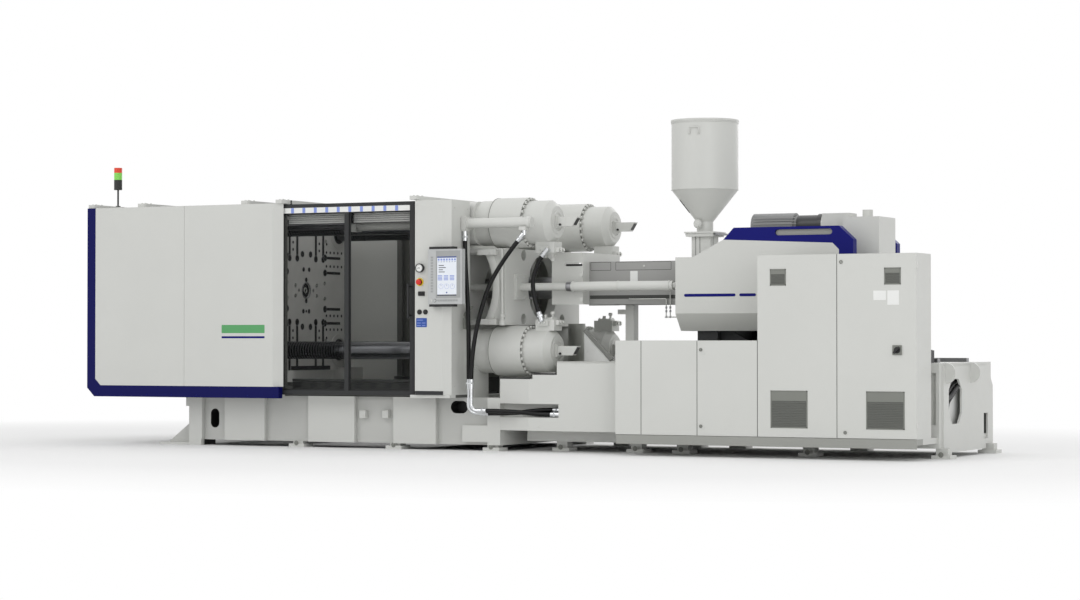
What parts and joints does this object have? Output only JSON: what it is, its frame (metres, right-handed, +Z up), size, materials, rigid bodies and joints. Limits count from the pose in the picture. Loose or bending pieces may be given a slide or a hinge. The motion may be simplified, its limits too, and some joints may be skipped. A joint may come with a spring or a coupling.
{
  "type": "injection moulding machine",
  "caption": "Large two-platen injection moulding machine: guarded clamp with tie bars and lock jaws at one end, injection unit with hopper at the other.",
  "frame": {"origin": "centre of the machine's outline on the floor", "axes": "+X along the machine from the clamp end to the injection end, +Y away from the operator's side, +Z up"},
  "size_m": [9.7008, 2.935, 3.4103],
  "materials": {
    "grey_paint": "warm light grey satin paint",
    "blue_paint": "deep blue satin paint",
    "black_paint": "black powder coat",
    "mid_grey_paint": "mid grey satin paint",
    "steel": "ground steel",
    "chrome": "hard chrome",
    "glass": "clear safety pane",
    "hose": "black rubber hose",
    "black_plastic": "black moulded plastic",
    "white_plastic": "light grey plastic housing with a screen",
    "red_plastic": "red plastic"
  },
  "bodies": {
    "machine": {"clamp_bed": "grey_paint", "slideways": "steel", "levelling_pads": "black_paint", "fixed_platen": "grey_paint", "clamp_cylinders": "grey_paint", "cylinder_caps": "grey_paint", "cap_bolts": "steel", "stroke_sensors": "grey_paint", "shift_cylinders": "grey_paint", "guard_panels": "grey_paint", "guard_trims": "blue_paint", "guard_frame": "grey_paint", "control_column": "grey_paint", "column_fittings": "black_plastic", "signal_tower": "black_plastic", "injection_base": "grey_paint", "low_cabinet": "grey_paint", "tall_cabinet": "grey_paint", "carriage_rods": "chrome", "cable_chain": "black_plastic", "hose_fittings": "chrome", "hose_a": "hose", "hose_b": "hose", "hose_c": "hose", "hose_d": "hose", "hose_e": "hose"},
    "tie_bar_set": {"tie_bars": "steel"},
    "moving_platen": {"movable_platen": "grey_paint", "platen_guides": "steel", "shift_rods": "chrome"},
    "ejector_unit": {"ejector": "steel"},
    "front_jaws": {"lock_jaws_front": "black_paint"},
    "rear_jaws": {"lock_jaws_rear": "black_paint"},
    "operator_gate": {"front_gate": "black_paint", "front_gate_panes": "glass"},
    "back_gate": {"rear_gate": "grey_paint"},
    "screen_unit": {"hmi": "white_plastic"},
    "stop_button": {"estop_button": "red_plastic"},
    "left_button": {"left_push_button": "black_plastic"},
    "right_button": {"right_push_button": "black_plastic"},
    "door_1": {"low_left_door": "grey_paint"},
    "door_2": {"low_right_door": "grey_paint"},
    "door_3": {"tall_left_door": "grey_paint"},
    "door_4": {"tall_right_door": "grey_paint"},
    "switch_handle": {"main_switch": "black_plastic"},
    "carriage": {"injection_carriage": "grey_paint", "barrel": "steel", "heater_bands": "steel", "barrel_guard": "mid_grey_paint", "injection_shroud": "grey_paint", "shroud_band": "blue_paint", "drive_motor": "mid_grey_paint", "rear_housing": "grey_paint", "carriage_cylinders": "chrome", "hopper": "grey_paint"},
    "purge_cover": {"purge_guard": "grey_paint"},
    "screw_drive": {"drive_head": "black_paint"},
    "screw_body": {"screw": "steel"},
    "slide_gate": {"hopper_gate": "steel"},
    "lid": {"hopper_lid": "grey_paint"}
  },
  "joints": [
    {"name": "clamp_stroke", "type": "slide", "parent": "machine", "child": "tie_bar_set", "axis": [1, 0, 0], "range_m": [0, 0.066]},
    {"name": "platen_travel", "type": "slide", "parent": "machine", "child": "moving_platen", "axis": [1, 0, 0], "range_m": [0, 1.386]},
    {"name": "ejector_stroke", "type": "slide", "parent": "moving_platen", "child": "ejector_unit", "axis": [1, 0, 0], "range_m": [0, 0.2]},
    {"name": "front_jaws_close", "type": "slide", "parent": "moving_platen", "child": "front_jaws", "axis": [0, 1, 0], "range_m": [0, 0.06]},
    {"name": "rear_jaws_close", "type": "slide", "parent": "moving_platen", "child": "rear_jaws", "axis": [0, -1, 0], "range_m": [0, 0.06]},
    {"name": "operator_gate_slide", "type": "slide", "parent": "machine", "child": "operator_gate", "axis": [-1, 0, 0], "range_m": [0, 1.45]},
    {"name": "back_gate_slide", "type": "slide", "parent": "machine", "child": "back_gate", "axis": [-1, 0, 0], "range_m": [0, 1.45]},
    {"name": "screen_swing", "type": "hinge", "parent": "machine", "child": "screen_unit", "pos_m": [-0.46, -1.48, 1.7875], "axis": [0, 0, -1], "range_deg": [0, 80]},
    {"name": "stop_press", "type": "slide", "parent": "machine", "child": "stop_button", "axis": [0, 1, 0], "range_m": [0, 0.006]},
    {"name": "left_button_press", "type": "slide", "parent": "machine", "child": "left_button", "axis": [0, 1, 0], "range_m": [0, 0.004], "stiffness_N_per_m": 400},
    {"name": "right_button_press", "type": "slide", "parent": "machine", "child": "right_button", "axis": [0, 1, 0], "range_m": [0, 0.004], "stiffness_N_per_m": 400},
    {"name": "low_left_door_hinge", "type": "hinge", "parent": "machine", "child": "door_1", "pos_m": [1.876, -1.45, 0.671], "axis": [0, 0, -1], "range_deg": [0, 100]},
    {"name": "low_right_door_hinge", "type": "hinge", "parent": "machine", "child": "door_2", "pos_m": [3.105, -1.45, 0.671], "axis": [0, 0, 1], "range_deg": [0, 89]},
    {"name": "tall_left_door_hinge", "type": "hinge", "parent": "machine", "child": "door_3", "pos_m": [3.107, -1.45, 1.082], "axis": [0, 0, -1], "range_deg": [0, 89]},
    {"name": "tall_right_door_hinge", "type": "hinge", "parent": "machine", "child": "door_4", "pos_m": [4.706, -1.45, 1.082], "axis": [0, 0, 1], "range_deg": [0, 100]},
    {"name": "switch_turn", "type": "hinge", "parent": "door_4", "child": "switch_handle", "pos_m": [4.519, -1.47, 1.044], "axis": [0, 1, 0], "range_deg": [0, 90]},
    {"name": "carriage_slide", "type": "slide", "parent": "machine", "child": "carriage", "axis": [1, 0, 0], "range_m": [0, 0.5]},
    {"name": "purge_cover_slide", "type": "slide", "parent": "carriage", "child": "purge_cover", "axis": [1, 0, 0], "range_m": [0, 0.45]},
    {"name": "injection_stroke", "type": "slide", "parent": "carriage", "child": "screw_drive", "axis": [1, 0, 0], "range_m": [0, 0.4]},
    {"name": "screw_spin", "type": "hinge", "parent": "screw_drive", "child": "screw_body", "pos_m": [1, 0, 1.695], "axis": [1, 0, 0], "continuous": true},
    {"name": "slide_gate_pull", "type": "slide", "parent": "carriage", "child": "slide_gate", "axis": [-1, 0, 0], "range_m": [0, 0.14]},
    {"name": "lid_open", "type": "hinge", "parent": "carriage", "child": "lid", "pos_m": [1.94, 0.352, 3.3903], "axis": [-1, 0, 0], "range_deg": [0, 100]}
  ],
  "couplings": [
    {"joint": "rear_jaws_close", "follows": "front_jaws_close", "ratio": 1}
  ]
}
